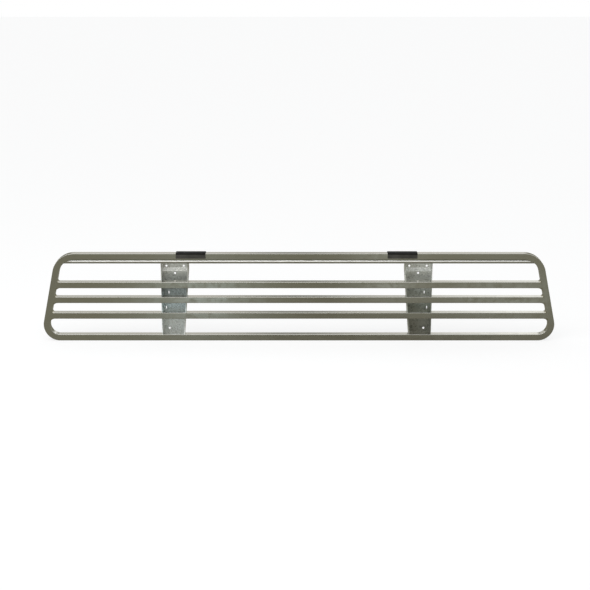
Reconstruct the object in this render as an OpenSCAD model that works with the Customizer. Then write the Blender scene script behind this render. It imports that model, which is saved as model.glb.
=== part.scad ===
/* [Rack outline] */
// Height from the underside of the bottom rail to the top of the top rail
rack_height = 275; // [250:1:320]
// Width of the top edge, measured between its unrounded corners
top_width = 1485; // [1400:1:1520]
// Width of the bottom edge, measured between its unrounded corners
bottom_width = 1598; // [1560:1:1700]
// Outside radius of the two top corners
top_corner_radius = 68; // [50:1:75]
// Outside radius of the two bottom corners
bottom_corner_radius = 50; // [40:1:60]

/* [Tube stock] */
// Face of the rectangular tube, seen from the front
tube_face = 19; // [16:0.5:20]
// Depth of the rectangular tube, front to back
tube_depth = 25.4; // [20:0.1:30]
// Wall of the rectangular tube
tube_wall = 1.6; // [1.2:0.1:2]

/* [Crossbars] */
// Height of the upper crossbar's centreline
upper_bar_z = 176; // [172:1:180]
// Height of the middle crossbar's centreline
middle_bar_z = 129; // [125:1:132]
// Height of the lower crossbar's centreline
lower_bar_z = 79; // [76:1:82]

/* [Weld fillets] */
// Radius of the dressed weld under each crossbar end
under_fillet = 16.5; // [6:0.5:16.5]
// Radius of the dressed weld on top of each crossbar end
over_fillet = 5; // [3:0.5:6]

/* [Frame joints] */
// Half of the top rail's own length, up to its butt joints
top_joint_x = 640; // [600:5:650]
// Half of the bottom rail's own length, up to its butt joints
bottom_joint_x = 700; // [660:5:710]
// Length of the sleeve inside each butt joint
sleeve_length = 60; // [40:5:60]

/* [Stiffener rod] */
// Diameter of the round rod under the top rail
rod_diameter = 12; // [10:0.5:14]
// Distance of the rod's centreline behind the front face
rod_setback = 8; // [7:0.5:12]

/* [Brackets] */
// Distance between the centrelines of the two brackets
bracket_spacing = 755; // [700:5:800]
// Sideways offset of the bracket pair from the middle of the rack
bracket_shift = -7.5; // [-10:0.5:10]
// Width of a bracket at its top
bracket_width = 80; // [76:1:90]
// How much narrower the inboard side is at the foot
bracket_taper = 16; // [0:1:18]
// How much further the inboard side reaches above the foot's taper
bracket_overhang = 4; // [0:1:6]
// Depth of a bracket behind the tubes
bracket_depth = 46; // [40:1:55]
// Sheet thickness of a bracket
bracket_sheet = 2.5; // [2:0.1:3]
// Height of the top of the side flanges
flange_top_z = 265; // [250:1:266]
// Height at which the web steps back to the mounting tab
step_z = 203; // [200:1:206]
// How far the mounting tab steps back
tab_step = 9; // [6:0.5:12]
// Height of the top of the mounting tab
tab_top_z = 238; // [232:1:244]

/* [Mounting holes] */
// Diameter of every mounting hole
hole_diameter = 6.6; // [5.5:0.1:7]
// Distance between the two holes of a mounting tab
tab_hole_spacing = 54; // [44:1:56]
// Height of the tab holes
tab_hole_z = 219; // [217:0.5:224]
// Height of the single hole below the step
upper_hole_z = 198; // [186:0.5:199]
// Height of the hole near the foot
lower_hole_z = 21; // [20:0.5:40]
// Outboard offset of the foot hole and of the wiring slots' column
lower_hole_offset = 20; // [10:1:24]
// Width of a cable-tie slot
slot_width = 2.5; // [2:0.5:4]
// End-to-end length of a cable-tie slot
slot_length = 9; // [8:0.5:14]

/* [Bracket fixings] */
// Width of the folded ears that the screws clamp
ear_width = 16; // [14:1:18]
// Diameter of a fixing screw's shank
screw_diameter = 5; // [4:0.5:5]
// Diameter of a rivet nut's body
nut_diameter = 7; // [6.5:0.1:8]

/* [Load pads] */
// Length of each rubber load pad
pad_length = 91; // [70:1:110]
// Distance of a pad's outboard end from its bracket's centreline
pad_start = 9; // [0:1:20]
// Rubber thickness on the top and the front of the rail
pad_thickness = 2.2; // [1.5:0.1:3]
// Height of the pad's front leg
pad_front_leg = 15; // [10:1:18]
// Height of the pad's back leg
pad_back_leg = 8; // [5:1:8]

/* [Hidden] */
$fn = 64;

tiny = 0.05;
// The side posts lean in by this angle from the vertical
lean = atan((bottom_width - top_width) / 2 / rack_height);
// The tubes' front face lies this far forward of the middle of the overall depth
overall_depth = pad_thickness + tube_depth + bracket_depth + tab_step;
front_y = pad_thickness - overall_depth / 2;
web_back = tube_depth + bracket_depth;
crossbar_heights = [upper_bar_z, middle_bar_z, lower_bar_z];
ear_heights = [upper_bar_z, lower_bar_z, tube_face / 2];
ear_height = tube_face - 3;
// Length of a flange's level top edge
flange_nose = 16;
// The tie slots sit this far below the middles of their gaps, and the lower one is staggered
slot_drop = 16;
slot_stagger = 9;
screw_clearance = 0.25;
washer_thickness = 1;
washer_diameter = 10;
screw_head_diameter = 9;
screw_head_height = 3;
screw_head_crown = 6;
hex_key_size = 3.4;
hex_key_depth = 2;
screw_reach = 12;
nut_length = 11.5;
nut_bulge_diameter = 9.4;
nut_bulge_length = 2;
nut_clearance = 0.1;
nut_bore_clearance = 0.1;
sleeve_clearance = 0.15;
rod_gap = 1.2;
weld_edge = 0.4;

steel = [0.60, 0.60, 0.56];
weld = [0.52, 0.52, 0.48];
zinc = [0.66, 0.72, 0.74];
rubber = [0.12, 0.12, 0.12];

// Half width of the outline at a height, moved in by an inset square to the post
function side_x(z, inset = 0) =
    bottom_width / 2 - z * tan(lean) - inset / cos(lean);

// Inboard edge of a bracket at a height, in the bracket's own width axis
function inboard_edge(z) =
    -bracket_width / 2 - bracket_overhang + bracket_taper * max(0, 1 - z / step_z);

// Width position of an ear's screw: end 1 is outboard and end -1 is inboard
function screw_u(end, z) = end > 0
    ? bracket_width / 2 - bracket_sheet - ear_width / 2
    : inboard_edge(z) + bracket_sheet + ear_width / 2;

function bracket_x(side) = side * bracket_spacing / 2 + bracket_shift;

// Places depths counted back from the tubes' front face into the rack's frame
module from_front() translate([0, front_y, 0]) children();

// Stands a shape drawn as width and height upright, running back from one depth to another
module upright(from, to)
    from_front() translate([0, to, 0]) rotate([90, 0, 0]) linear_extrude(to - from) children();

module box(low, high) translate(low) cube(high - low);

// Centre of a right-hand corner bend, as width and height. The width is rounded to a hundredth
// of a millimetre, so that the straight and the bent lengths meet on one plane.
function bend_center(z, radius) = [round(side_x(z, radius) * 100) / 100, z];
top_center = bend_center(rack_height - top_corner_radius, top_corner_radius);
bottom_center = bend_center(bottom_corner_radius, bottom_corner_radius);
// Direction square to the right post, pointing out of the rack
outward = [cos(lean), sin(lean)];
// Half length of the rod before its ends are coped
rod_reach = top_center.x + top_corner_radius / 2;

// Solid bar bent about a corner's centre from a start angle, slimmed all round by an inset
module bend(center, radius, start, sweep, inset)
    from_front() translate([center.x, 0, center.y]) rotate([90, 0, 0]) rotate([0, 0, start])
        rotate_extrude(angle = sweep)
            translate([radius - tube_face + inset, inset - tube_depth])
                square([tube_face - 2 * inset, tube_depth - 2 * inset]);

module top_bend(inset) bend(top_center, top_corner_radius, 90, lean - 90, inset);

module straight_bar(from_x, to_x, low_z, inset)
    from_front() box([from_x, inset, low_z + inset],
                     [to_x, tube_depth - inset, low_z + tube_face - inset]);

// One side's stub, bend, post, bend and stub, whose stubs run on by an overrun
module bow_run(inset, overrun) {
    outer_top = top_center + (top_corner_radius - inset) * outward;
    outer_foot = bottom_center + (bottom_corner_radius - inset) * outward;
    across_face = (tube_face - 2 * inset) * outward;
    straight_bar(top_joint_x - overrun, top_center.x, rack_height - tube_face, inset);
    top_bend(inset);
    upright(inset, tube_depth - inset)
        polygon([outer_top, outer_foot, outer_foot - across_face, outer_top - across_face]);
    bend(bottom_center, bottom_corner_radius, -90, 90 + lean, inset);
    straight_bar(bottom_joint_x - overrun, bottom_center.x, 0, inset);
}

// Spots where a bracket's screws enter the tubes
module at_screws(side, heights = ear_heights)
    for (end = [-1, 1], z = heights)
        from_front() translate([bracket_x(side) + side * screw_u(end, z), tube_depth, z])
            rotate([90, 0, 0]) children();

module nut_holes(heights)
    for (side = [-1, 1]) at_screws(side, heights)
        translate([0, 0, -tiny]) cylinder(d = nut_diameter + 2 * nut_clearance, h = tube_wall + 2);

module rail(half_length, low_z) difference() {
    straight_bar(-half_length, half_length, low_z, 0);
    straight_bar(-half_length - 1, half_length + 1, low_z, tube_wall);
}

module top_rail() color(steel) rail(top_joint_x, rack_height - tube_face);

module bottom_rail() color(steel) difference() {
    rail(bottom_joint_x, 0);
    nut_holes([tube_face / 2]);
}

// One side post with both corner bends, cut square at the butt joints
module end_bow(side) color(steel) mirror([side < 0 ? 1 : 0, 0, 0]) difference() {
    bow_run(0, 0);
    bow_run(tube_wall, 1);
}

module crossbar_face(z, inset) {
    low = z - tube_face / 2 + inset;
    high = z + tube_face / 2 - inset;
    polygon([
        [side_x(low, tube_face), low], [side_x(high, tube_face), high],
        [-side_x(high, tube_face), high], [-side_x(low, tube_face), low]
    ]);
}

module crossbar(z) color(steel) difference() {
    upright(0, tube_depth) crossbar_face(z, 0);
    upright(tube_wall, tube_depth - tube_wall) crossbar_face(z, tube_wall);
    if (len([for (h = ear_heights) if (h == z) h]) > 0) nut_holes([z]);
}

// A concave corner weld between a post and a bar: rise 1 fills above the bar and -1 below it
module weld_fillet(bar_z, rise, radius) {
    bar_edge = bar_z + rise * tube_face / 2;
    center = [side_x(bar_edge + rise * radius, tube_face + radius), bar_edge + rise * radius];
    difference() {
        polygon([
            [side_x(bar_edge, tube_face), bar_edge],
            [center.x, bar_edge],
            center,
            center + radius * outward
        ]);
        translate(center) circle(radius - weld_edge);
    }
}

module weld_fillets(side) color(weld) mirror([side < 0 ? 1 : 0, 0, 0])
    for (z = crossbar_heights) {
        upright(0, tube_depth) weld_fillet(z, 1, over_fillet);
        upright(0, tube_depth) weld_fillet(z, -1, under_fillet);
    }

module joint_sleeves() color(steel) for (side = [-1, 1]) {
    sleeve(side * top_joint_x, rack_height - tube_face);
    sleeve(side * bottom_joint_x, 0);
}

// Square-cornered liner that bridges one butt joint inside the tube
module sleeve(x, low_z) {
    gap = tube_wall + sleeve_clearance;
    low = [x - sleeve_length / 2, gap, low_z + gap];
    high = [x + sleeve_length / 2, tube_depth - gap, low_z + tube_face - gap];
    from_front() difference() {
        box(low, high);
        box(low + [-1, tube_wall, tube_wall], high + [1, -tube_wall, -tube_wall]);
    }
}

// Its ends are coped to the inside of the top corner bends
module stiffener_rod() color(steel) difference() {
    from_front()
        translate([-rod_reach, rod_setback, rack_height - tube_face - rod_gap - rod_diameter / 2])
            rotate([0, 90, 0]) cylinder(d = rod_diameter, h = 2 * rod_reach);
    for (side = [0, 1]) mirror([side, 0, 0]) top_bend(0);
}

// Side view of a bracket's web, its step and its mounting tab, as depth and height
module bracket_sheet_profile() {
    bend = bracket_sheet * tan(22.5);
    front = web_back - bracket_sheet;
    polygon([
        [web_back, 0], [web_back, step_z], [web_back + tab_step, step_z + tab_step],
        [web_back + tab_step, tab_top_z], [front + tab_step, tab_top_z],
        [front + tab_step, step_z + tab_step + bend], [front, step_z + bend], [front, 0]
    ]);
}

module bracket_flange_profile() polygon([
    [tube_depth, 0], [web_back, 0], [web_back, step_z],
    [web_back + tab_step, step_z + tab_step], [web_back + tab_step, tab_top_z],
    [tube_depth + flange_nose, flange_top_z], [tube_depth, flange_top_z]
]);

// Front view of a bracket, with the outboard side on the positive side
module bracket_outline(inset, overshoot) polygon([
    [bracket_width / 2 - inset, -overshoot],
    [bracket_width / 2 - inset, flange_top_z + overshoot],
    [inboard_edge(step_z) + inset, flange_top_z + overshoot],
    [inboard_edge(step_z) + inset, step_z],
    [inboard_edge(0) + inset, 0],
    [inboard_edge(0) + inset, -overshoot]
]);

// Runs a side profile across the full width of a bracket
module across() from_front() translate([inboard_edge(step_z), 0, 0]) rotate([90, 0, 90])
    linear_extrude(bracket_width + bracket_overhang) children();

module ear(end, z) {
    side_edge = end > 0 ? bracket_width / 2 - bracket_sheet : inboard_edge(z) + bracket_sheet;
    reach = [side_edge + (end > 0 ? -ear_width : -bracket_sheet / 2),
             side_edge + (end > 0 ? bracket_sheet / 2 : ear_width)];
    difference() {
        from_front() box([reach[0], tube_depth, z - ear_height / 2],
                         [reach[1], tube_depth + bracket_sheet, z + ear_height / 2]);
        from_front() translate([screw_u(end, z), tube_depth - tiny, z]) rotate([-90, 0, 0])
            cylinder(d = screw_diameter + 2 * screw_clearance, h = bracket_sheet + 2 * tiny);
    }
}

module back_hole(u, z) from_front() translate([u, web_back - bracket_sheet - 1, z])
    rotate([-90, 0, 0]) cylinder(d = hole_diameter, h = tab_step + bracket_sheet + 2);

module tie_slot(u, z) upright(web_back - bracket_sheet - 1, web_back + 1) translate([u, z]) {
    square([slot_width, slot_length - slot_width], center = true);
    for (end = [-1, 1])
        translate([0, end * (slot_length - slot_width) / 2]) circle(d = slot_width);
}

module bracket(side) color(zinc)
    translate([bracket_x(side), 0, 0]) mirror([side < 0 ? 1 : 0, 0, 0]) difference() {
        union() {
            intersection() {
                across() bracket_sheet_profile();
                upright(tube_depth, web_back + tab_step) bracket_outline(0, 0);
            }
            intersection() {
                across() bracket_flange_profile();
                upright(tube_depth, web_back + tab_step) difference() {
                    bracket_outline(0, 0);
                    bracket_outline(bracket_sheet, 1);
                }
            }
            for (end = [-1, 1], z = ear_heights) ear(end, z);
        }
        for (end = [-1, 1]) back_hole(end * tab_hole_spacing / 2, tab_hole_z);
        back_hole(0, upper_hole_z);
        back_hole(lower_hole_offset, lower_hole_z);
        tie_slot(lower_hole_offset, (upper_bar_z + middle_bar_z) / 2 - slot_drop);
        tie_slot(lower_hole_offset + slot_stagger, (middle_bar_z + lower_bar_z) / 2 - slot_drop);
    }

// Button head with a hex socket, screwed forward from behind the ears
module bracket_screws(side) color(steel) at_screws(side) {
    head_start = -bracket_sheet - washer_thickness;
    difference() {
        union() {
            translate([0, 0, head_start - screw_head_height])
                cylinder(d1 = screw_head_crown, d2 = screw_head_diameter,
                         h = screw_head_height);
            translate([0, 0, head_start - tiny])
                cylinder(d = screw_diameter, h = screw_reach - head_start);
        }
        translate([0, 0, head_start - screw_head_height - tiny])
            cylinder(d = hex_key_size, h = hex_key_depth, $fn = 6);
    }
}

module bracket_washers(side) color(zinc) at_screws(side)
    translate([0, 0, -bracket_sheet - washer_thickness]) difference() {
        cylinder(d = washer_diameter, h = washer_thickness);
        translate([0, 0, -1])
            cylinder(d = screw_diameter + 2 * screw_clearance, h = washer_thickness + 2);
    }

module rivet_nuts(side) color(zinc) at_screws(side) difference() {
    union() {
        cylinder(d = nut_diameter, h = nut_length);
        translate([0, 0, tube_wall]) cylinder(d = nut_bulge_diameter, h = nut_bulge_length);
    }
    translate([0, 0, -1])
        cylinder(d = screw_diameter + 2 * nut_bore_clearance, h = nut_length + 2);
}

// Rubber channel over the top rail, with a long front leg and a short back leg
module load_pad(side) color(rubber) {
    top = rack_height + pad_thickness;
    // Each pad runs inboard from near its bracket's centreline
    outboard = bracket_x(side) - side * pad_start;
    low_x = min(outboard, outboard - side * pad_length);
    from_front() translate([low_x, 0, 0]) rotate([90, 0, 90]) linear_extrude(pad_length) polygon([
        [-pad_thickness, rack_height - pad_front_leg], [0, rack_height - pad_front_leg],
        [0, rack_height], [tube_depth, rack_height], [tube_depth, rack_height - pad_back_leg],
        [tube_depth + pad_thickness, rack_height - pad_back_leg],
        [tube_depth + pad_thickness, top], [-pad_thickness, top]
    ]);
}

module left_end_bow() end_bow(-1);
module right_end_bow() end_bow(1);
module upper_crossbar() crossbar(upper_bar_z);
module middle_crossbar() crossbar(middle_bar_z);
module lower_crossbar() crossbar(lower_bar_z);
module left_weld_fillets() weld_fillets(-1);
module right_weld_fillets() weld_fillets(1);
module left_bracket() bracket(-1);
module right_bracket() bracket(1);
module left_bracket_screws() bracket_screws(-1);
module right_bracket_screws() bracket_screws(1);
module left_bracket_washers() bracket_washers(-1);
module right_bracket_washers() bracket_washers(1);
module left_rivet_nuts() rivet_nuts(-1);
module right_rivet_nuts() rivet_nuts(1);
module left_load_pad() load_pad(-1);
module right_load_pad() load_pad(1);

top_rail();
bottom_rail();
left_end_bow();
right_end_bow();
upper_crossbar();
middle_crossbar();
lower_crossbar();
left_weld_fillets();
right_weld_fillets();
joint_sleeves();
stiffener_rod();
left_bracket();
right_bracket();
left_bracket_screws();
right_bracket_screws();
left_bracket_washers();
right_bracket_washers();
left_rivet_nuts();
right_rivet_nuts();
left_load_pad();
right_load_pad();
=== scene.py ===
import bpy
import bmesh
import math
import numpy as np
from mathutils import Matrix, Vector


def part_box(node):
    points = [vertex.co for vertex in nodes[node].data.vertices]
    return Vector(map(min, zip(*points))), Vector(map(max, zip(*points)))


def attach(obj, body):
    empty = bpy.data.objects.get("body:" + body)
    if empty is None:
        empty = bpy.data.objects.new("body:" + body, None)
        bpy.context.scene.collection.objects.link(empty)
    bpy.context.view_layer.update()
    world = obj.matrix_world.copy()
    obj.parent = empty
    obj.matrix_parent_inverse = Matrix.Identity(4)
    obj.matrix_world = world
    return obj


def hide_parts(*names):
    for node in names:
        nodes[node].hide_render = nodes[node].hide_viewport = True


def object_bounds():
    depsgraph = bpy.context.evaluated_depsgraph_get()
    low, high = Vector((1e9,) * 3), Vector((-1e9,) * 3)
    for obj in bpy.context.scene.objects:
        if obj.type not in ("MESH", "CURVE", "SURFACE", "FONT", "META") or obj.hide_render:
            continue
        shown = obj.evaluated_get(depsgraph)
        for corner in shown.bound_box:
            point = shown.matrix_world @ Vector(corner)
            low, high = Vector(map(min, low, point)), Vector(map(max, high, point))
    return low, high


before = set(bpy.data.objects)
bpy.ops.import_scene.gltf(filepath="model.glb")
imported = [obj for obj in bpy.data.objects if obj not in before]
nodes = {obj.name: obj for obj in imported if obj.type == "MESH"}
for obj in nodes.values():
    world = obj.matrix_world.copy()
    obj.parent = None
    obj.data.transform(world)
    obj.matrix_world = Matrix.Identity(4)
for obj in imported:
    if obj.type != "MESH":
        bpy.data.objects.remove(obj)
cadLow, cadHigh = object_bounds()
print("frame loaded:", len(nodes), "nodes")


# Places that every piece shares, read off the frame's own boxes

railLow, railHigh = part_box("top_rail")
footLow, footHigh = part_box("bottom_rail")
lowerLow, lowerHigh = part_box("lower_crossbar")
upperLow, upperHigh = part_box("upper_crossbar")
frontY = railLow.y
tubeDepth = railHigh.y - railLow.y
tubeFace = railHigh.z - railLow.z
rackTop = railHigh.z
tanLean = (lowerHigh.x - upperHigh.x) / (upperLow.z - lowerLow.z)
leanAngle = math.atan(tanLean)
outward = np.array([math.cos(leanAngle), math.sin(leanAngle)])
halfFoot = lowerHigh.x + lowerLow.z * tanLean + tubeFace / outward[0]

sides = (("left", -1), ("right", 1))
barNames = ("upper", "middle", "lower")


# Half width of the outline at a height, moved in square to the leaning post
def sideX(z, inset=0.0):
    return halfFoot - z * tanLean - inset / outward[0]


def middleZ(node):
    low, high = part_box(node)
    return (low.z + high.z) / 2


# Heights of the brackets' folded ears: the upper and lower crossbars and the bottom rail
earHeights = [middleZ("upper_crossbar"), middleZ("lower_crossbar"), tubeFace / 2]


# Mesh helpers

def linkObject(name, data):
    linked = bpy.data.objects.new(name, data)
    bpy.context.scene.collection.objects.link(linked)
    return linked


def linkPiece(mesh, node, material):
    piece = linkObject(mesh.name, mesh)
    mesh.materials.append(material)
    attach(piece, "root")
    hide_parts(node)
    return piece


# A closed loop through corner points, each corner turned into an arc tangent to both its sides
def roundedLoop(corners, radii, steps=6, support=0.0003):
    corners = np.asarray(corners, float)
    loop = []
    for i, corner in enumerate(corners):
        toLast = corners[i - 1] - corner
        toNext = corners[(i + 1) % len(corners)] - corner
        toLast, toNext = toLast / np.linalg.norm(toLast), toNext / np.linalg.norm(toNext)
        half = math.acos(np.clip(toLast @ toNext, -1, 1)) / 2
        radius = radii[i] if np.ndim(radii) else radii
        reach = radius / math.tan(half)
        bisector = (toLast + toNext) / np.linalg.norm(toLast + toNext)
        center = corner + bisector * radius / math.sin(half)
        first = corner + toLast * reach - center
        last = corner + toNext * reach - center
        turn = math.atan2(first[0] * last[1] - first[1] * last[0], first @ last)
        angles = np.linspace(0, turn, steps + 1)
        arc = np.stack([first[0] * np.cos(angles) - first[1] * np.sin(angles),
                        first[0] * np.sin(angles) + first[1] * np.cos(angles)], 1) + center
        loop += [corner + toLast * (reach + support), *arc, corner + toNext * (reach + support)]
    return np.array(loop)


# A tube's section: across the face, then back through the depth
def tubeSection(radius):
    half = tubeFace / 2
    return roundedLoop([(-half, 0), (half, 0), (half, tubeDepth), (-half, tubeDepth)], radius)


# Puts a grid of points, rows by columns, into a mesh whose columns close into rings.
# The UV map holds distance along the rows and around the ring, in metres.
def ringMesh(name, points, capped=True):
    rows, columns = points.shape[:2]
    index = np.arange(rows * columns).reshape(rows, columns)
    nextColumn = np.roll(index, -1, axis=1)
    quads = np.stack([index[:-1], nextColumn[:-1], nextColumn[1:], index[1:]], -1)
    faces = quads.reshape(-1, 4).tolist()
    if capped:
        faces += [index[0, ::-1].tolist(), index[-1].tolist()]
    mesh = bpy.data.meshes.new(name)
    mesh.from_pydata(points.reshape(-1, 3).tolist(), [], faces)
    closed = np.concatenate([points, points[:, :1]], 1)
    stepsAlong = np.linalg.norm(np.diff(points, axis=0), axis=2).mean(1)
    stepsAround = np.linalg.norm(np.diff(closed, axis=1), axis=2)[rows // 2]
    along, around = [np.append(0, np.cumsum(steps)) for steps in (stepsAlong, stepsAround)]
    grid = np.stack(np.meshgrid(along, around, indexing="ij"), -1)
    corners = np.stack([grid[:-1, :-1], grid[:-1, 1:], grid[1:, 1:], grid[1:, :-1]], 2)
    uv = np.zeros((sum(len(face) for face in faces), 2))
    uv[: corners.size // 2] = corners.reshape(-1, 2)
    mesh.uv_layers.new(name="UVMap").data.foreach_set("uv", uv.ravel())
    return tidyMesh(mesh)


# Merges doubles, points every face outwards and smooths all but the sharp edges
def tidyMesh(mesh, sharpAngle=35, merge=1e-6):
    work = bmesh.new()
    work.from_mesh(mesh)
    bmesh.ops.remove_doubles(work, verts=work.verts, dist=merge)
    bmesh.ops.recalc_face_normals(work, faces=work.faces)
    work.to_mesh(mesh)
    work.free()
    mesh.shade_smooth()
    mesh.set_sharp_from_angle(angle=math.radians(sharpAngle))
    return mesh


def joinMeshes(name, meshes):
    work = bmesh.new()
    for mesh in meshes:
        work.from_mesh(mesh)
    joined = bpy.data.meshes.new(name)
    work.to_mesh(joined)
    work.free()
    for mesh in meshes:
        bpy.data.meshes.remove(mesh)
    return joined


# The mesh that a rough object's modifiers make. The object and its cutters are then removed.
def settle(rough, cutters):
    settled = rough.evaluated_get(bpy.context.evaluated_depsgraph_get())
    made = bpy.data.meshes.new_from_object(settled)
    for leftover in [rough] + cutters:
        bpy.data.objects.remove(leftover)
    return made


# Carries a section along a path in the rack's plane: each section point moves across the path
# by its first coordinate and back from the front face by its second
def carried(name, path, across, section):
    path, across = np.asarray(path), np.asarray(across)
    flat = path[:, None] + across[:, None] * section[None, :, :1]
    depth = np.broadcast_to(frontY + section[None, :, 1:], flat[..., :1].shape)
    points = np.concatenate([flat[..., :1], depth, flat[..., 1:]], -1)
    return ringMesh(name, points)


# Frame tubes

frameTube = {
    "cornerRadius": 0.0009,      # rounding along the tube's four edges
    "topBend": 0.068,            # outside radius of the top corners
    "bottomBend": 0.050,         # outside radius of the bottom corners
    "bendSteps": 28,
}


# Right-hand centreline: stub, top bend, post, bottom bend, stub, with the direction across it
def bowPath(bend=frameTube):
    half = tubeFace / 2
    path, across = [(railHigh.x, rackTop - half)], [(0, 1)]
    for radius, z, start, stop in (
        (bend["topBend"], rackTop - bend["topBend"], math.pi / 2, leanAngle),
        (bend["bottomBend"], bend["bottomBend"], leanAngle, -math.pi / 2),
    ):
        center = np.array([sideX(z, radius), z])
        angles = np.linspace(start, stop, bend["bendSteps"])
        ring = np.stack([np.cos(angles), np.sin(angles)], 1)
        path += list(center + ring * (radius - half))
        across += list(ring)
    path.append((footHigh.x, half))
    across.append((0, -1))
    return np.array(path), np.array(across)


def buildFrameTubes(material):
    section = tubeSection(frameTube["cornerRadius"])
    half = tubeFace / 2
    for name, node, end, z in (("topRail", "top_rail", railHigh.x, rackTop - half),
                               ("bottomRail", "bottom_rail", footHigh.x, half)):
        mesh = carried(name, [(-end, z), (end, z)], [(0, 1), (0, 1)], section)
        linkPiece(mesh, node, material)
    path, across = bowPath()
    for name, side in sides:
        mesh = carried(name + "EndBow", path * [side, 1], across * [side, 1], section)
        linkPiece(mesh, name + "_end_bow", material)


# Each end of a crossbar follows the leaning post and fills the rounding of the post's edge
def buildCrossbars(material):
    section = tubeSection(frameTube["cornerRadius"])
    for name in barNames:
        z = middleZ(name + "_crossbar") + section[:, 0]
        end = sideX(z, tubeFace - frameTube["cornerRadius"])
        y = frontY + section[:, 1]
        points = np.stack([np.stack([end * share, y, z], 1) for share in (-1, -0.5, 0.5, 1)])
        linkPiece(ringMesh(name + "Crossbar", points), name + "_crossbar",
                  material)


# Dressed welds

weldFillet = {
    "underRadius": 0.0165,
    "overRadius": 0.005,
    "arcSteps": 14,
    "edgeSteps": 5,
}


# A concave corner: the arc tangent to bar and post is drawn back over the edge rounding of both,
# and closes on the spine where their flat faces begin
def filletMesh(barZ, rise, side):
    radius = weldFillet["overRadius" if rise > 0 else "underRadius"]
    edge = frameTube["cornerRadius"]
    barEdge = barZ + rise * tubeFace / 2
    centerZ = barEdge + rise * radius
    center = np.array([sideX(centerZ, tubeFace + radius), centerZ])
    angles = np.linspace(-rise * math.pi / 2, leanAngle, weldFillet["arcSteps"])
    ring = np.stack([np.cos(angles), np.sin(angles)], 1)
    spineZ = barEdge - rise * edge
    spine = np.array([sideX(spineZ, tubeFace - edge), spineZ])
    turns = np.linspace(0, math.pi / 2, weldFillet["edgeSteps"])
    # Distance beyond the arc and depth, from the front flat round to the back flat
    beyond = np.concatenate([edge * (1 - np.sin(turns)), edge * (1 - np.cos(turns))])
    depth = np.concatenate([edge * (1 - np.cos(turns)),
                            tubeDepth - edge * (1 - np.sin(turns))])
    flat = center + ring[:, None] * (radius + beyond[None, :, None])
    spines = np.broadcast_to(spine, (len(angles), 1, 2))
    flat = np.concatenate([spines, flat, spines], 1)
    depth = np.concatenate([[0], depth, [tubeDepth]])
    depths = np.broadcast_to((frontY + depth)[None, :, None], flat.shape[:2] + (1,))
    points = np.concatenate([flat[..., :1] * side, depths, flat[..., 1:]], -1)
    return ringMesh("fillet", points)


def buildWeldFillets(material):
    for name, side in sides:
        fillets = [filletMesh(middleZ(bar + "_crossbar"), rise, side)
                   for bar in barNames for rise in (1, -1)]
        mesh = joinMeshes(name + "WeldFillets", fillets)
        linkPiece(mesh, name + "_weld_fillets", material)


# Stiffener rod

roundRod = {
    "sides": 48,
    "sink": 0.001,               # how far the coped ends sink into the bends
    "middleShare": 0.96,         # share of the length between the two inner rings
}


# A cylinder whose ends are coped to the inside of the top bends: each end's reach is the bend
# centre's plus the root of the inside radius squared less the height above the centre squared
def buildStiffenerRod(material, rod=roundRod):
    low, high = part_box("stiffener_rod")
    radius = (high.z - low.z) / 2
    angles = np.linspace(0, 2 * math.pi, rod["sides"], endpoint=False)
    y = (low.y + high.y) / 2 + radius * np.cos(angles)
    z = (low.z + high.z) / 2 + radius * np.sin(angles)
    bend = frameTube["topBend"]
    centerZ = rackTop - bend
    inside = bend - tubeFace + rod["sink"]
    end = sideX(centerZ, bend) + np.sqrt(inside ** 2 - (z - centerZ) ** 2)
    shares = (-1, -rod["middleShare"], rod["middleShare"], 1)
    points = np.stack([np.stack([end * share, y, z], 1) for share in shares])
    linkPiece(ringMesh("stiffenerRod", points), "stiffener_rod", material)


# Brackets

pressedBracket = {
    "sheet": 0.0025,
    "bendRadius": 0.0050,        # outside radius of the pressed bends
    "width": 0.080,
    "overhang": 0.004,           # how much further the inboard side reaches at the top
    "taper": 0.016,              # how much the inboard side draws in at the foot
    "stepSharpness": 16.0,       # how crisp the bends of the step are
    "flangeTop": 0.265,
    "flangeNose": 0.016,
    "tabTop": 0.238,
    "stepZ": 0.203,
    "step": 0.009,
    "rowsBelow": 0.006,          # the wide-set rows stop this far below the step
    "fineBelow": 0.0045,         # the close-set rows run from this far below it
    "fineAbove": 0.0145,         # to this far above it
    "rowsAbove": 0.017,          # and the wide-set rows start again here
    "holeRadius": 0.0033,
    "holeSides": 40,
    "cutterStart": 0.030,        # behind the tubes, clear of the ears
    "cutterOverrun": 0.010,      # past the back of the tabs
    "tabHoles": ((-0.027, 0.219), (0.027, 0.219)),
    "webHoles": ((0.0, 0.198), (0.020, 0.021)),
    "slots": ((0.020, 0.1365), (0.029, 0.088)),
    "slotSize": (0.0025, 0.009),
    "earWidth": 0.016,
    "earHeight": 0.016,
    "earSink": 0.001,            # how far an ear's root sinks into the flange
    "edgeRadius": 0.0004,
    "sharpAngle": 30,
    "bevelAngle": 50,
}


# Inboard edge of a bracket at a height, in the bracket's own width axis
def inboardEdge(z, shape=pressedBracket):
    draw = shape["taper"] * np.maximum(0, 1 - z / shape["stepZ"])
    return -shape["width"] / 2 - shape["overhang"] + draw


# Middle of a bracket's nominal width, measured from its outboard side
def bracketCenter(name, side, shape=pressedBracket):
    low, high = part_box(name + "_bracket")
    return (high.x if side > 0 else low.x) - side * shape["width"] / 2


# Ramp from 0 to 1 with softly rounded ends: the difference of two softened corners
def softRamp(t, sharpness):
    softened = [np.logaddexp(0, sharpness * (t - corner)) / sharpness for corner in (0, 1)]
    return softened[0] - softened[1]


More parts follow.
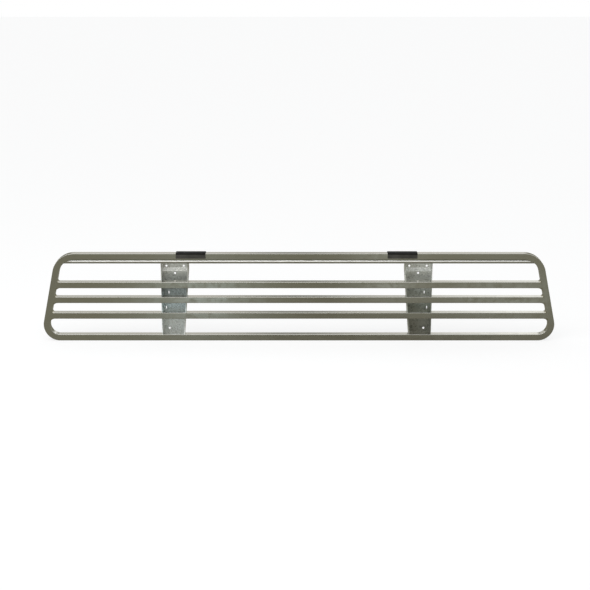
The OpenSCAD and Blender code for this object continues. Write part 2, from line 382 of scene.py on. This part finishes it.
# Outer surface of the pressed channel. Columns run from the inboard flange's front edge round
# the web to the outboard flange's, and rows run up, with the web stepping back near its top.
def channelGrid(webBack, shape=pressedBracket):
    bend, stepZ, tabTop, front = shape["bendRadius"], shape["stepZ"], shape["tabTop"], tubeDepth
    flange = np.linspace(0, 1, 7)
    turn = np.linspace(0, math.pi / 2, 9)[1:]
    web = np.linspace(0, 1, 17)[1:]
    stretchFrom = stepZ + shape["rowsAbove"]
    z = np.concatenate([np.linspace(0, stepZ - shape["rowsBelow"], 18),
                        np.linspace(stepZ - shape["fineBelow"], stepZ + shape["fineAbove"], 48),
                        np.linspace(stretchFrom, tabTop, 5)])[:, None]
    ramp = softRamp((z - stepZ) / shape["step"], shape["stepSharpness"])
    back = webBack + shape["step"] * ramp
    inner, outer = inboardEdge(z), np.full_like(z, shape["width"] / 2)
    depth = np.concatenate([
        front + (back - bend - front) * flange,
        back - bend + bend * np.sin(turn),
        back + 0 * web,
        back - bend + bend * np.cos(turn),
        front + (back - bend - front) * flange[::-1][1:],
    ], 1)
    across = np.concatenate([
        np.broadcast_to(inner, (len(z), len(flange))),
        inner + bend - bend * np.cos(turn),
        inner + bend + (outer - inner - 2 * bend) * web,
        outer - bend + bend * np.sin(turn),
        np.broadcast_to(outer, (len(z), len(flange) - 1)),
    ], 1)
    # The flanges climb above the tab in a slope that ends in a level nose
    slope = (shape["flangeTop"] - tabTop) / (back[-1] - front - shape["flangeNose"])
    climb = (back[-1] - depth[-1]) * slope
    top = np.minimum(tabTop + climb, shape["flangeTop"])
    rise = np.maximum(0, z - stretchFrom) / (tabTop - stretchFrom)
    height = z + rise * (top[None] - tabTop)
    return across, depth, height


def openSheet(name, points):
    rows, columns = points.shape[:2]
    index = np.arange(rows * columns).reshape(rows, columns)
    quads = np.stack([index[:-1, :-1], index[:-1, 1:], index[1:, 1:], index[1:, :-1]], -1)
    mesh = bpy.data.meshes.new(name)
    mesh.from_pydata(points.reshape(-1, 3).tolist(), [], quads.reshape(-1, 4).tolist())
    return mesh


# A prism through the sheet with round ends: a circle when it is as long as it is wide
def holeCutter(x, z, width, length, shape=pressedBracket):
    angles = (np.arange(shape["holeSides"]) + 0.5) * 2 * math.pi / shape["holeSides"]
    ringX = width / 2 * np.cos(angles)
    ringZ = width / 2 * np.sin(angles) + np.sign(np.sin(angles)) * (length - width) / 2
    low = frontY + tubeDepth + shape["cutterStart"]
    high = cadHigh.y + shape["cutterOverrun"]
    points = np.stack([np.stack([x + ringX, np.full_like(ringX, y), z + ringZ], 1)
                       for y in (low, high)])
    return linkObject("cutter", ringMesh("cutter", points))


# A rounded plate across the bracket's width, at the flange's front edge
def earMesh(low, high, z, shape=pressedBracket):
    front, sheet, half = frontY + tubeDepth, shape["sheet"], shape["earHeight"] / 2
    corners = [(low, front), (high, front), (high, front + sheet), (low, front + sheet)]
    section = roundedLoop(corners, shape["edgeRadius"], steps=2, support=0.0001)
    levels = z + np.array([-half, half])
    points = np.stack([np.stack([section[:, 0], section[:, 1], np.full(len(section), level)], 1)
                       for level in levels])
    return ringMesh("ear", points)


def buildBracket(name, side, material, shape=pressedBracket):
    centerX, width = bracketCenter(name, side), shape["width"]
    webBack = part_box(name + "_bracket")[1].y - frontY - shape["step"]
    across, depth, height = channelGrid(webBack)
    points = np.stack([centerX + side * across, frontY + depth, height], -1)
    sheet = linkObject("sheet", openSheet("sheet", points))
    thicken = sheet.modifiers.new("thickness", "SOLIDIFY")
    thicken.thickness = shape["sheet"]
    thicken.offset = 1 if side > 0 else -1
    thicken.use_even_offset = True
    circle = (2 * shape["holeRadius"], 2 * shape["holeRadius"])
    openings = [(spot, circle) for spot in shape["tabHoles"] + shape["webHoles"]]
    openings += [(spot, shape["slotSize"]) for spot in shape["slots"]]
    cutters = [holeCutter(centerX + side * u, z, *size) for (u, z), size in openings]
    for cutter in cutters:
        cut = sheet.modifiers.new("hole", "BOOLEAN")
        cut.object, cut.operation, cut.solver = cutter, "DIFFERENCE", "EXACT"
    body = settle(sheet, cutters)
    ears = []
    root = shape["sheet"] - shape["earSink"]
    for z in earHeights:
        for start, reach in ((inboardEdge(z) + root, shape["earWidth"]),
                             (width / 2 - root, -shape["earWidth"])):
            ends = sorted((centerX + side * start, centerX + side * (start + reach)))
            ears.append(earMesh(*ends, z))
    mesh = joinMeshes(name + "Bracket", [tidyMesh(body, shape["sharpAngle"])] + ears)
    mesh.set_sharp_from_angle(angle=math.radians(shape["sharpAngle"]))
    piece = linkPiece(mesh, name + "_bracket", material)
    soften = piece.modifiers.new("edges", "BEVEL")
    soften.width, soften.segments, soften.limit_method = shape["edgeRadius"], 2, "ANGLE"
    soften.angle_limit = math.radians(shape["bevelAngle"])


# Fasteners

buttonScrew = {
    "headRadius": 0.0045,
    "headHeight": 0.003,
    "shankRadius": 0.0025,
    "reach": 0.012,              # how far the shank enters the tube
    "hexKey": 0.0034,            # across the socket's flats
    "hexDepth": 0.0018,
    "hexEdge": 0.0001,           # chamfer round the socket
    "domeStart": 0.0024,         # radius at which the head's dome starts
    "rim": 0.0006,               # height of the head's straight rim
    "tipLength": 0.0008,
    "tipChamfer": 0.0006,
    "sides": 48,
    "washerRadius": 0.005,
    "washerHole": 0.00275,
    "washerThickness": 0.001,
    "washerEdge": 0.00025,
    "washerSides": 40,
}


# Width positions of a bracket's screws at a height
def screwPlaces(name, side, shape=pressedBracket):
    centerX, width = bracketCenter(name, side), shape["width"]
    places = []
    for z in earHeights:
        for u in (width / 2 - shape["sheet"] - shape["earWidth"] / 2,
                  inboardEdge(z) + shape["sheet"] + shape["earWidth"] / 2):
            places.append((centerX + side * float(u), z))
    return places


# From the socket's floor out over the domed head and down the shank to its chamfered tip.
# The socket's wall follows a hexagon: its flat distance over the cosine of the turn from it.
def screwMesh(x, z, screw=buttonScrew):
    angles = np.linspace(0, 2 * math.pi, screw["sides"], endpoint=False)
    hexagon = screw["hexKey"] / 2 / np.cos((angles + math.pi / 6) % (math.pi / 3) - math.pi / 6)
    seat = frontY + tubeDepth + pressedBracket["sheet"] + screw["washerThickness"]
    top, head, shank = seat + screw["headHeight"], screw["headRadius"], screw["shankRadius"]
    floor, edge, tip = top - screw["hexDepth"], screw["hexEdge"], frontY + tubeDepth - screw["reach"]
    turn = np.linspace(0, math.pi / 2, 9)
    domeRadius = screw["domeStart"] + (head - screw["domeStart"]) * np.sin(turn)
    domeDepth = seat + screw["rim"] + (screw["headHeight"] - screw["rim"]) * np.cos(turn)
    outline = [(edge / 10, floor), (hexagon, floor), (hexagon, top - edge), (hexagon + edge, top),
               *zip(domeRadius, domeDepth), (head, seat), (shank, seat),
               (shank, tip + screw["tipLength"]), (shank - screw["tipChamfer"], tip)]
    radii = np.stack([np.broadcast_to(radius, angles.shape) for radius, depth in outline])
    depths = np.broadcast_to([[depth] for radius, depth in outline], radii.shape)
    points = np.stack([x + radii * np.cos(angles), depths, z + radii * np.sin(angles)], -1)
    return ringMesh("screw", points)


def washerMesh(x, z, screw=buttonScrew):
    hole, rim = screw["washerHole"], screw["washerRadius"]
    back = frontY + tubeDepth + pressedBracket["sheet"]
    seat = back + screw["washerThickness"]
    section = roundedLoop([(hole, back), (rim, back), (rim, seat), (hole, seat)],
                          screw["washerEdge"], steps=3, support=0.0001)
    angles = np.linspace(0, 2 * math.pi, screw["washerSides"], endpoint=False)[:, None]
    radii, depths = section.T
    points = np.stack([x + radii * np.cos(angles), depths + 0 * angles,
                       z + radii * np.sin(angles)], -1)
    points = np.concatenate([points, points[:1]])
    return ringMesh("washer", points, capped=False)


def buildFasteners(screwMaterial, washerMaterial):
    for name, side in sides:
        places = screwPlaces(name, side)
        for kind, build, material, slot in (
            ("Screws", screwMesh, screwMaterial, "plain_steel"),
            ("Washers", washerMesh, washerMaterial, "zinc_plate"),
        ):
            mesh = joinMeshes(name + "Bracket" + kind, [build(x, z) for x, z in places])
            linkPiece(mesh, name + "_bracket_" + kind.lower(), material)


# Load pads

loadPad = {
    "thickness": 0.0022,
    "frontLeg": 0.015,
    "backLeg": 0.008,
    "outerRadius": 0.0018,
    "lipRadius": 0.0008,
    "innerRadius": 0.0005,
    "grooves": 3,
    "grooveDepth": 0.0008,
    "grooveWidth": 0.0022,
    "grooveFloor": 0.6,          # share of the groove's width that its floor takes
    "grooveEdge": 0.0004,
    "grooveRoot": 0.0003,
    "endRadius": 0.0009,
}


# Closed outline of the rubber channel: out along the grooved top, down the long front leg,
# back up inside, over the rail and round the short back leg
def padOutline(pad=loadPad):
    t, depth, top = pad["thickness"], tubeDepth, rackTop + pad["thickness"]
    outer, lip, inner = pad["outerRadius"], pad["lipRadius"], pad["innerRadius"]
    frontEnd, backEnd = rackTop - pad["frontLeg"], rackTop - pad["backLeg"]
    corners = [(-t, frontEnd), (0, frontEnd), (0, rackTop), (depth, rackTop), (depth, backEnd),
               (depth + t, backEnd), (depth + t, top)]
    radii = [lip, lip, inner, inner, lip, lip, outer]
    half, low, edge, root = (pad["grooveWidth"] / 2, top - pad["grooveDepth"], pad["grooveEdge"],
                             pad["grooveRoot"])
    floor = half * pad["grooveFloor"]
    for i in range(pad["grooves"], 0, -1):
        middle = depth * i / (pad["grooves"] + 1)
        corners += [(middle + half, top), (middle + floor, low), (middle - floor, low),
                    (middle - half, top)]
        radii += [edge, root, root, edge]
    corners.append((-t, top))
    radii.append(outer)
    return roundedLoop(corners, radii, steps=4, support=0.00002)


# The outline is drawn in along its own normals where the pad's ends round off
def buildLoadPads(material, pad=loadPad):
    outline = padOutline()
    ahead, behind = np.roll(outline, -1, 0), np.roll(outline, 1, 0)
    tangent = ahead - behind
    normal = np.stack([tangent[:, 1], -tangent[:, 0]], 1)
    normal /= np.linalg.norm(normal, axis=1)[:, None]
    angles = np.linspace(0, math.pi / 2, 5)
    inset = pad["endRadius"] * (1 - np.sin(angles))
    run = pad["endRadius"] * (1 - np.cos(angles))
    insets = np.concatenate([inset, inset[::-1]])
    shape = outline[None] - normal[None] * insets[:, None, None]
    for name, side in sides:
        low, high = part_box(name + "_load_pad")
        xs = np.concatenate([low.x + run, high.x - run[::-1]])
        points = np.stack([np.broadcast_to(xs[:, None], shape.shape[:2]),
                           frontY + shape[..., 0], shape[..., 1]], -1)
        linkPiece(ringMesh(name + "LoadPad", points), name + "_load_pad", material)


# Shader groups

def newGroup(name, inputs, outputs):
    group = bpy.data.node_groups.new(name, "ShaderNodeTree")
    for label, kind, value in inputs:
        socket = group.interface.new_socket(label, in_out="INPUT", socket_type=kind)
        if value is not None:
            socket.default_value = value
    for label, kind in outputs:
        group.interface.new_socket(label, in_out="OUTPUT", socket_type=kind)
    return group, group.nodes.new("NodeGroupInput"), group.nodes.new("NodeGroupOutput")


def addNode(tree, kind, values=(), **settings):
    node = tree.nodes.new(kind)
    for key, value in settings.items():
        setattr(node, key, value)
    for key, value in dict(values).items():
        if isinstance(value, bpy.types.NodeSocket):
            tree.links.new(value, node.inputs[key])
        else:
            node.inputs[key].default_value = value
    return node


def mapRange(tree, value, low, high, toLow, toHigh):
    node = addNode(tree, "ShaderNodeMapRange", {0: value, 1: low, 2: high, 3: toLow, 4: toHigh})
    return node.outputs[0]


def addMath(tree, operation, first, second=0.0):
    node = addNode(tree, "ShaderNodeMath", {0: first, 1: second}, operation=operation)
    return node.outputs[0]


# Each output's scale input, its squeeze along the marks, its detail and its roughness
polishNoise = {
    "Height": ("Fine", 0.02, 3.0, 0.6),
    "Haze": ("Coarse", 0.10, 4.0, 0.55),
}


# Polishing marks: noise drawn out along the first axis of the vector, fine and coarse together
def makePolishMarks():
    group, source, sink = newGroup(
        "polishMarks",
        [("Vector", "NodeSocketVector", None), ("Fine", "NodeSocketFloat", 1500.0),
         ("Coarse", "NodeSocketFloat", 90.0)],
        [("Height", "NodeSocketFloat"), ("Haze", "NodeSocketFloat")])
    for output, (scale, squeeze, detail, roughness) in polishNoise.items():
        drawnOut = addNode(group, "ShaderNodeVectorMath", {0: source.outputs["Vector"],
                           1: (squeeze, 1.0, 1.0)}, operation="MULTIPLY")
        noise = addNode(group, "ShaderNodeTexNoise", {"Vector": drawnOut.outputs[0],
                        "Scale": source.outputs[scale], "Detail": detail,
                        "Roughness": roughness})
        group.links.new(noise.outputs["Fac"], sink.inputs[output])
    return group


# Broad cloudiness: soft patches a hand long, with an island of finer smudges inside
def makeClouding():
    group, source, sink = newGroup(
        "clouding",
        [("Vector", "NodeSocketVector", None), ("Scale", "NodeSocketFloat", 4.0),
         ("Smudges", "NodeSocketFloat", 60.0)],
        [("Patches", "NodeSocketFloat"), ("Smudge", "NodeSocketFloat")])
    broad = addNode(group, "ShaderNodeTexNoise", {"Vector": source.outputs["Vector"],
                    "Scale": source.outputs["Scale"], "Detail": 2.0, "Roughness": 0.5})
    small = addNode(group, "ShaderNodeTexNoise", {"Vector": source.outputs["Vector"],
                    "Scale": source.outputs["Smudges"], "Detail": 5.0, "Roughness": 0.6,
                    "Distortion": 0.4})
    patches = mapRange(group, broad.outputs["Fac"], 0.35, 0.68, 0.0, 1.0)
    smudge = mapRange(group, small.outputs["Fac"], 0.45, 0.75, 0.0, 1.0)
    group.links.new(patches, sink.inputs["Patches"])
    group.links.new(smudge, sink.inputs["Smudge"])
    return group


polishMarks = makePolishMarks()
clouding = makeClouding()


def newMaterial(name):
    material = bpy.data.materials.new(name)
    material.use_nodes = True
    tree = material.node_tree
    return material, tree, tree.nodes["Principled BSDF"]


def useGroup(tree, group, values):
    return addNode(tree, "ShaderNodeGroup", values, node_tree=group)


# Metal with a lengthwise polish: two tones mixed by the clouding, and marks that raise
# the roughness and the relief a little
def polishedMetal(name, finish, vectorKind="UV"):
    material, tree, shader = newMaterial(name)
    place = addNode(tree, "ShaderNodeTexCoord")
    grain = place.outputs[vectorKind]
    marks = useGroup(tree, polishMarks, {"Vector": grain, "Fine": finish["fine"],
                                         "Coarse": finish["coarse"]})
    clouds = useGroup(tree, clouding, {"Vector": place.outputs["Object"],
                                       "Scale": finish["cloudScale"],
                                       "Smudges": finish["smudgeScale"]})
    tone = addNode(tree, "ShaderNodeMix", {0: clouds.outputs["Patches"],
                   6: finish["tone"] + (1,), 7: finish["cloudTone"] + (1,)}, data_type="RGBA")
    smudged = mapRange(tree, clouds.outputs["Smudge"], 0, 1, 0, finish["smudge"])
    worn = addNode(tree, "ShaderNodeMix", {0: smudged, 6: tone.outputs[2],
                   7: finish["smudgeTone"] + (1,)}, data_type="RGBA")
    streak = mapRange(tree, marks.outputs["Height"], 0.3, 0.7, 1 - finish["streak"],
                      1 + finish["streak"])
    streaked = addNode(tree, "ShaderNodeVectorMath", {0: worn.outputs[2], "Scale": streak},
                       operation="SCALE")
    tree.links.new(streaked.outputs[0], shader.inputs["Base Color"])
    base, spread = finish["roughness"], finish["roughnessSpread"]
    rough = mapRange(tree, marks.outputs["Haze"], 0.3, 0.7, base - spread, base + spread)
    dulled = mapRange(tree, clouds.outputs["Smudge"], 0, 1, 0,
                      finish["smudge"] * finish["smudgeDulling"])
    tree.links.new(addMath(tree, "ADD", rough, dulled), shader.inputs["Roughness"])
    shader.inputs["Metallic"].default_value = 1.0
    bump = addNode(tree, "ShaderNodeBump", {"Height": marks.outputs["Height"],
                   "Strength": finish["relief"], "Distance": finish["reliefDepth"]})
    tree.links.new(bump.outputs[0], shader.inputs["Normal"])
    return material


steelFinish = {
    "tone": (0.66, 0.65, 0.61), "cloudTone": (0.68, 0.68, 0.65), "smudgeTone": (0.58, 0.56, 0.50),
    "fine": 1500.0, "coarse": 90.0, "cloudScale": 3.2, "smudgeScale": 45.0, "smudge": 0.25,
    "smudgeDulling": 0.25, "roughness": 0.09, "roughnessSpread": 0.025, "relief": 0.05,
    "reliefDepth": 0.00001, "streak": 0.07,
}
weldFinish = dict(steelFinish, tone=(0.57, 0.55, 0.46), cloudTone=(0.60, 0.58, 0.50),
                  roughness=0.22, smudge=0.4)
rodFinish = dict(steelFinish, tone=(0.80, 0.80, 0.76), cloudTone=(0.86, 0.86, 0.84),
                 roughness=0.34, smudge=0.15)
plainFinish = dict(steelFinish, tone=(0.52, 0.52, 0.50), cloudTone=(0.58, 0.58, 0.56),
                   roughness=0.28, cloudScale=40.0)

zincFinish = {
    # Colour at heights up the bracket, from foot to tab, with painted light and shade in it: a dark
    # band where the crossbars shade the web, brighter lit stretches above and below, and a left
    # bracket painted brighter than the right
    "left": ((0.045, (0.97, 1.0, 1.0)), (0.100, (0.86, 0.96, 1.0)),
             (0.150, (0.37, 0.40, 0.39)), (0.205, (0.66, 0.66, 0.62))),
    "right": ((0.045, (0.42, 0.42, 0.38)), (0.100, (0.57, 0.60, 0.55)),
              (0.150, (0.60, 0.62, 0.58)), (0.205, (0.74, 0.75, 0.71))),
    "metallic": 0.35,
    "spangleScale": 260.0,
    "cloudScale": 22.0,
    "smudgeScale": 120.0,
    "crystalTint": (0.95, 1.04),
    "cloudTint": 0.92,
    "roughness": (0.27, 0.42),
    "relief": 0.04,
    "reliefDepth": 0.00003,
}


# Zinc plate: fine crystals tilt the tone, clouds dull it, and painted light and shade by height
# change its colour from top to foot
def zincPlate(name, tones, finish=zincFinish):
    material, tree, shader = newMaterial(name)
    place = addNode(tree, "ShaderNodeTexCoord")
    parts = addNode(tree, "ShaderNodeSeparateXYZ", {0: place.outputs["Object"]})
    height = mapRange(tree, parts.outputs["Z"], 0.0, cadHigh.z, 0.0, 1.0)
    # Painted shade and light: this ramp darkens the web where the crossbars shade it and brightens
    # the lit stretches
    paintedShadeRamp = addNode(tree, "ShaderNodeValToRGB", {0: height})
    stops = paintedShadeRamp.color_ramp.elements
    for stop, (z, tone) in zip(stops, (tones[0], tones[-1])):
        stop.position, stop.color = z / cadHigh.z, tone + (1,)
    for z, tone in tones[1:-1]:
        stops.new(z / cadHigh.z).color = tone + (1,)
    crystals = addNode(tree, "ShaderNodeTexVoronoi", {"Vector": place.outputs["Object"],
                       "Scale": finish["spangleScale"], "Randomness": 1.0})
    clouds = useGroup(tree, clouding, {"Vector": place.outputs["Object"],
                                       "Scale": finish["cloudScale"],
                                       "Smudges": finish["smudgeScale"]})
    shade = addNode(tree, "ShaderNodeSeparateColor", {0: crystals.outputs["Color"]})
    tint = mapRange(tree, shade.outputs[0], 0, 1, *finish["crystalTint"])
    dull = mapRange(tree, clouds.outputs["Patches"], 0, 1, 1.0, finish["cloudTint"])
    toned = addNode(tree, "ShaderNodeVectorMath", {0: paintedShadeRamp.outputs[0],
                    "Scale": addMath(tree, "MULTIPLY", tint, dull)}, operation="SCALE")
    tree.links.new(toned.outputs[0], shader.inputs["Base Color"])
    rough = mapRange(tree, clouds.outputs["Smudge"], 0, 1, *finish["roughness"])
    tree.links.new(rough, shader.inputs["Roughness"])
    shader.inputs["Metallic"].default_value = finish["metallic"]
    bump = addNode(tree, "ShaderNodeBump", {"Height": shade.outputs[1],
                   "Strength": finish["relief"], "Distance": finish["reliefDepth"]})
    tree.links.new(bump.outputs[0], shader.inputs["Normal"])
    return material


rubberFinish = {
    "tone": (0.006, 0.005, 0.005),
    "bloomTone": (0.075, 0.072, 0.064),
    "bloomEnds": 0.0015,         # below the rail's top
    "bloomFull": 0.0035,
    "bloomLeast": 0.6,           # its strength where the clouding thins it most
    "cloudScale": 30.0,
    "smudgeScale": 150.0,
    "grainScale": 900.0,
    "roughness": (0.65, 0.85),
    "shine": 0.2,
    "relief": 0.3,
    "reliefDepth": 0.0001,
}


# Moulded rubber: a grey bloom on the worn legs, a darker crown and a fine moulded grain
def padRubber(finish=rubberFinish):
    material, tree, shader = newMaterial("padRubber")
    place = addNode(tree, "ShaderNodeTexCoord")
    parts = addNode(tree, "ShaderNodeSeparateXYZ", {0: place.outputs["Object"]})
    legs = mapRange(tree, parts.outputs["Z"], rackTop - finish["bloomFull"],
                    rackTop - finish["bloomEnds"], 1.0, 0.0)
    clouds = useGroup(tree, clouding, {"Vector": place.outputs["Object"],
                                       "Scale": finish["cloudScale"],
                                       "Smudges": finish["smudgeScale"]})
    thinned = mapRange(tree, clouds.outputs["Patches"], 0, 1, finish["bloomLeast"], 1.0)
    tone = addNode(tree, "ShaderNodeMix", {0: addMath(tree, "MULTIPLY", legs, thinned),
                   6: finish["tone"] + (1,), 7: finish["bloomTone"] + (1,)}, data_type="RGBA")
    tree.links.new(tone.outputs[2], shader.inputs["Base Color"])
    shader.inputs["Specular IOR Level"].default_value = finish["shine"]
    rough = mapRange(tree, clouds.outputs["Smudge"], 0, 1, *finish["roughness"])
    tree.links.new(rough, shader.inputs["Roughness"])
    grain = addNode(tree, "ShaderNodeTexNoise", {"Vector": place.outputs["Object"],
                    "Scale": finish["grainScale"], "Detail": 2.0})
    bump = addNode(tree, "ShaderNodeBump", {"Height": grain.outputs["Fac"],
                   "Strength": finish["relief"], "Distance": finish["reliefDepth"]})
    tree.links.new(bump.outputs[0], shader.inputs["Normal"])
    return material


steel = polishedMetal("polishedSteel", steelFinish)
weld = polishedMetal("dressedWeld", weldFinish, "Object")
rodSteel = polishedMetal("rodSteel", rodFinish)
plainSteel = polishedMetal("plainSteel", plainFinish, "Object")
# The two brackets get lit and shaded copies of one zinc: the left is painted brighter than the
# right, as painted light
leftZinc = zincPlate("leftZinc", zincFinish["left"])
rightZinc = zincPlate("rightZinc", zincFinish["right"])
rubber = padRubber()
print("materials made")

buildFrameTubes(steel)
buildCrossbars(steel)
buildWeldFillets(weld)
buildStiffenerRod(rodSteel)
print("frame, crossbars, welds and rod built")
buildBracket("left", -1, leftZinc)
buildBracket("right", 1, rightZinc)
buildFasteners(plainSteel, leftZinc)
buildLoadPads(rubber)
print("brackets, fasteners and pads built")

# Pieces that stay as the frame gives them, inside the tubes
for name, material in (("joint_sleeves", plainSteel), ("left_rivet_nuts", leftZinc),
                       ("right_rivet_nuts", leftZinc)):
    mesh = nodes[name].data
    mesh.materials.clear()
    mesh.materials.append(material)


# Stage, light and camera

studio = {
    "cameraDistance": 4.5,
    "cameraElevation": 14.5,
    "lens": 89.44,
    "aimHeight": 0.1373,
    "aimAcross": 0.0124,         # how far the rack sits to the right of the view's middle
    "aimUp": -0.0077,
    "floorSize": 30.0,
    "floorDrop": 0.0005,
    "floorTone": 0.9,
    "floorGlow": 0.75,
    "sky": (1.30, 1.32, 1.36),
    "ceiling": (0.42, 0.43, 0.42),
    "backdrop": (0.62, 0.61, 0.56),
    "room": (0.215, 0.208, 0.155),
    "ground": (0.13, 0.125, 0.10),
    # Name, place, what it aims at, size, watts and colour
    "lights": (
        ("softbox", (-0.8, -1.6, 2.6), (0, 0, 0.1), (3.0, 1.5), 30, (1.0, 1.0, 1.0)),
        ("coolFill", (-0.9, -1.6, 0.35), (-0.385, 0, 0.1), (0.8, 0.8), 6.5, (0.88, 0.96, 1.0)),
    ),
    # Heights on the unit sphere at which the light changes
    "bands": ((-0.75, "ground"), (-0.35, "room"), (0.15, "room"), (0.205, "backdrop"),
              (0.36, "backdrop"), (0.55, "sky"), (0.80, "sky"), (0.92, "ceiling")),
    "turnover": 0.1,             # half width of a patch's fade between before and behind
    # Azimuth, elevation, width and height in degrees, 1 behind or -1 before the rack,
    # colour and how strongly it covers
    "patches": (
        (-3.7, -14.6, 1.9, 0.75, -1, (0.72, 0.82, 0.80), 0.95),
        (3.5, -13.7, 1.1, 0.6, -1, (0.78, 0.83, 0.78), 0.9),
        (8.0, -14.5, 1.8, 0.6, -1, (0.60, 0.64, 0.60), 0.85),
        (4.5, -16.6, 9.0, 1.7, -1, (0.128, 0.120, 0.094), 0.9),
        (1.6, -14.6, 1.2, 2.0, -1, (0.175, 0.168, 0.128), 0.8),
        (0.0, 14.5, 2.2, 6.0, 1, (0.26, 0.26, 0.235), 0.9),
        (9.0, 15.5, 3.0, 2.0, 1, (1.25, 1.25, 1.20), 0.9),
    ),
}


def buildStage(stage=studio):
    half = stage["floorSize"] / 2
    points = [(x * half, y * half, -stage["floorDrop"])
              for x, y in ((-1, -1), (1, -1), (1, 1), (-1, 1))]
    mesh = bpy.data.meshes.new("studioFloor")
    mesh.from_pydata(points, [], [(0, 1, 2, 3)])
    floor = linkObject("studioFloor", mesh)
    material, tree, shader = newMaterial("studioFloor")
    shader.inputs["Base Color"].default_value = (stage["floorTone"],) * 3 + (1,)
    shader.inputs["Roughness"].default_value = 1.0
    glow = addNode(tree, "ShaderNodeEmission", {"Color": (1, 1, 1, 1), "Strength": 1.0})
    blend = addNode(tree, "ShaderNodeMixShader", {0: stage["floorGlow"],
                    1: shader.outputs[0], 2: glow.outputs[0]})
    tree.links.new(blend.outputs[0], tree.nodes["Material Output"].inputs["Surface"])
    mesh.materials.append(material)
    floor.visible_glossy = False
    floor.visible_diffuse = False


# What the metal sees, by direction. Azimuth is measured from straight ahead or straight behind
# and both angles are small near the rack, so a patch is exp(-(a/widthA)^2 - (e/widthE)^2).
def buildWorld(stage=studio):
    world = bpy.data.worlds.new("studio")
    bpy.context.scene.world = world
    world.use_nodes = True
    tree = world.node_tree
    tree.nodes.clear()
    place = addNode(tree, "ShaderNodeTexCoord")
    parts = addNode(tree, "ShaderNodeSeparateXYZ", {0: place.outputs["Generated"]})
    rise = mapRange(tree, parts.outputs["Z"], -1.0, 1.0, 0.0, 1.0)
    ramp = addNode(tree, "ShaderNodeValToRGB", {0: rise})
    stops = ramp.color_ramp.elements
    stops[0].position, stops[0].color = 0.0, stage["ground"] + (1,)
    stops[1].position, stops[1].color = 1.0, stage["ceiling"] + (1,)
    for z, color in stage["bands"]:
        stops.new((z + 1) / 2).color = stage[color] + (1,)
    light = ramp.outputs["Color"]
    for azimuth, elevation, wide, tall, facing, color, amount in stage["patches"]:
        squares = []
        for axis, angle, size in (("X", azimuth, wide), ("Z", elevation, tall)):
            offset = addMath(tree, "SUBTRACT", parts.outputs[axis],
                             math.sin(math.radians(angle)))
            scaled = addMath(tree, "MULTIPLY", offset, 1 / math.sin(math.radians(size)))
            squares.append(addMath(tree, "POWER", scaled, 2.0))
        negated = addMath(tree, "MULTIPLY", addMath(tree, "ADD", *squares), -1.0)
        bell = addMath(tree, "EXPONENT", negated)
        fade = stage["turnover"] * facing
        side = mapRange(tree, parts.outputs["Y"], -fade, fade, 0.0, amount)
        share = addMath(tree, "MULTIPLY", bell, side)
        light = addNode(tree, "ShaderNodeMix", {0: share, 6: light, 7: color + (1,)},
                        data_type="RGBA").outputs[2]
    seen = addNode(tree, "ShaderNodeLightPath")
    glow = addNode(tree, "ShaderNodeBackground", {"Color": light})
    plain = addNode(tree, "ShaderNodeBackground", {"Color": (1, 1, 1, 1)})
    blend = addNode(tree, "ShaderNodeMixShader", {0: seen.outputs["Is Camera Ray"],
                    1: glow.outputs[0], 2: plain.outputs[0]})
    output = addNode(tree, "ShaderNodeOutputWorld")
    tree.links.new(blend.outputs[0], output.inputs["Surface"])


def buildCamera(stage=studio):
    data = bpy.data.cameras.new("camera")
    data.lens, data.sensor_width = stage["lens"], 36
    camera = linkObject("camera", data)
    angle = math.radians(stage["cameraElevation"])
    forward = Vector((0, math.cos(angle), -math.sin(angle)))
    up = Vector((0, math.sin(angle), math.cos(angle)))
    target = Vector((0, frontY, stage["aimHeight"]))
    camera.location = (target - forward * stage["cameraDistance"]
                       - Vector((1, 0, 0)) * stage["aimAcross"] - up * stage["aimUp"])
    camera.rotation_euler = forward.to_track_quat("-Z", "Y").to_euler()
    bpy.context.scene.camera = camera


# Of the lights, only the softbox shows in the metal
def buildLights(stage=studio):
    for name, place, aim, size, energy, color in stage["lights"]:
        data = bpy.data.lights.new(name, "AREA")
        data.shape, data.energy, data.color = "RECTANGLE", energy, color
        data.size, data.size_y = size
        light = linkObject(name, data)
        light.location = place
        toward = Vector(aim) - light.location
        light.rotation_euler = toward.to_track_quat("-Z", "Y").to_euler()
        light.visible_glossy = name == "softbox"


buildStage()
buildWorld()
buildLights()
buildCamera()
bpy.context.scene.view_settings.view_transform = "Standard"
print("stage, light and camera set")
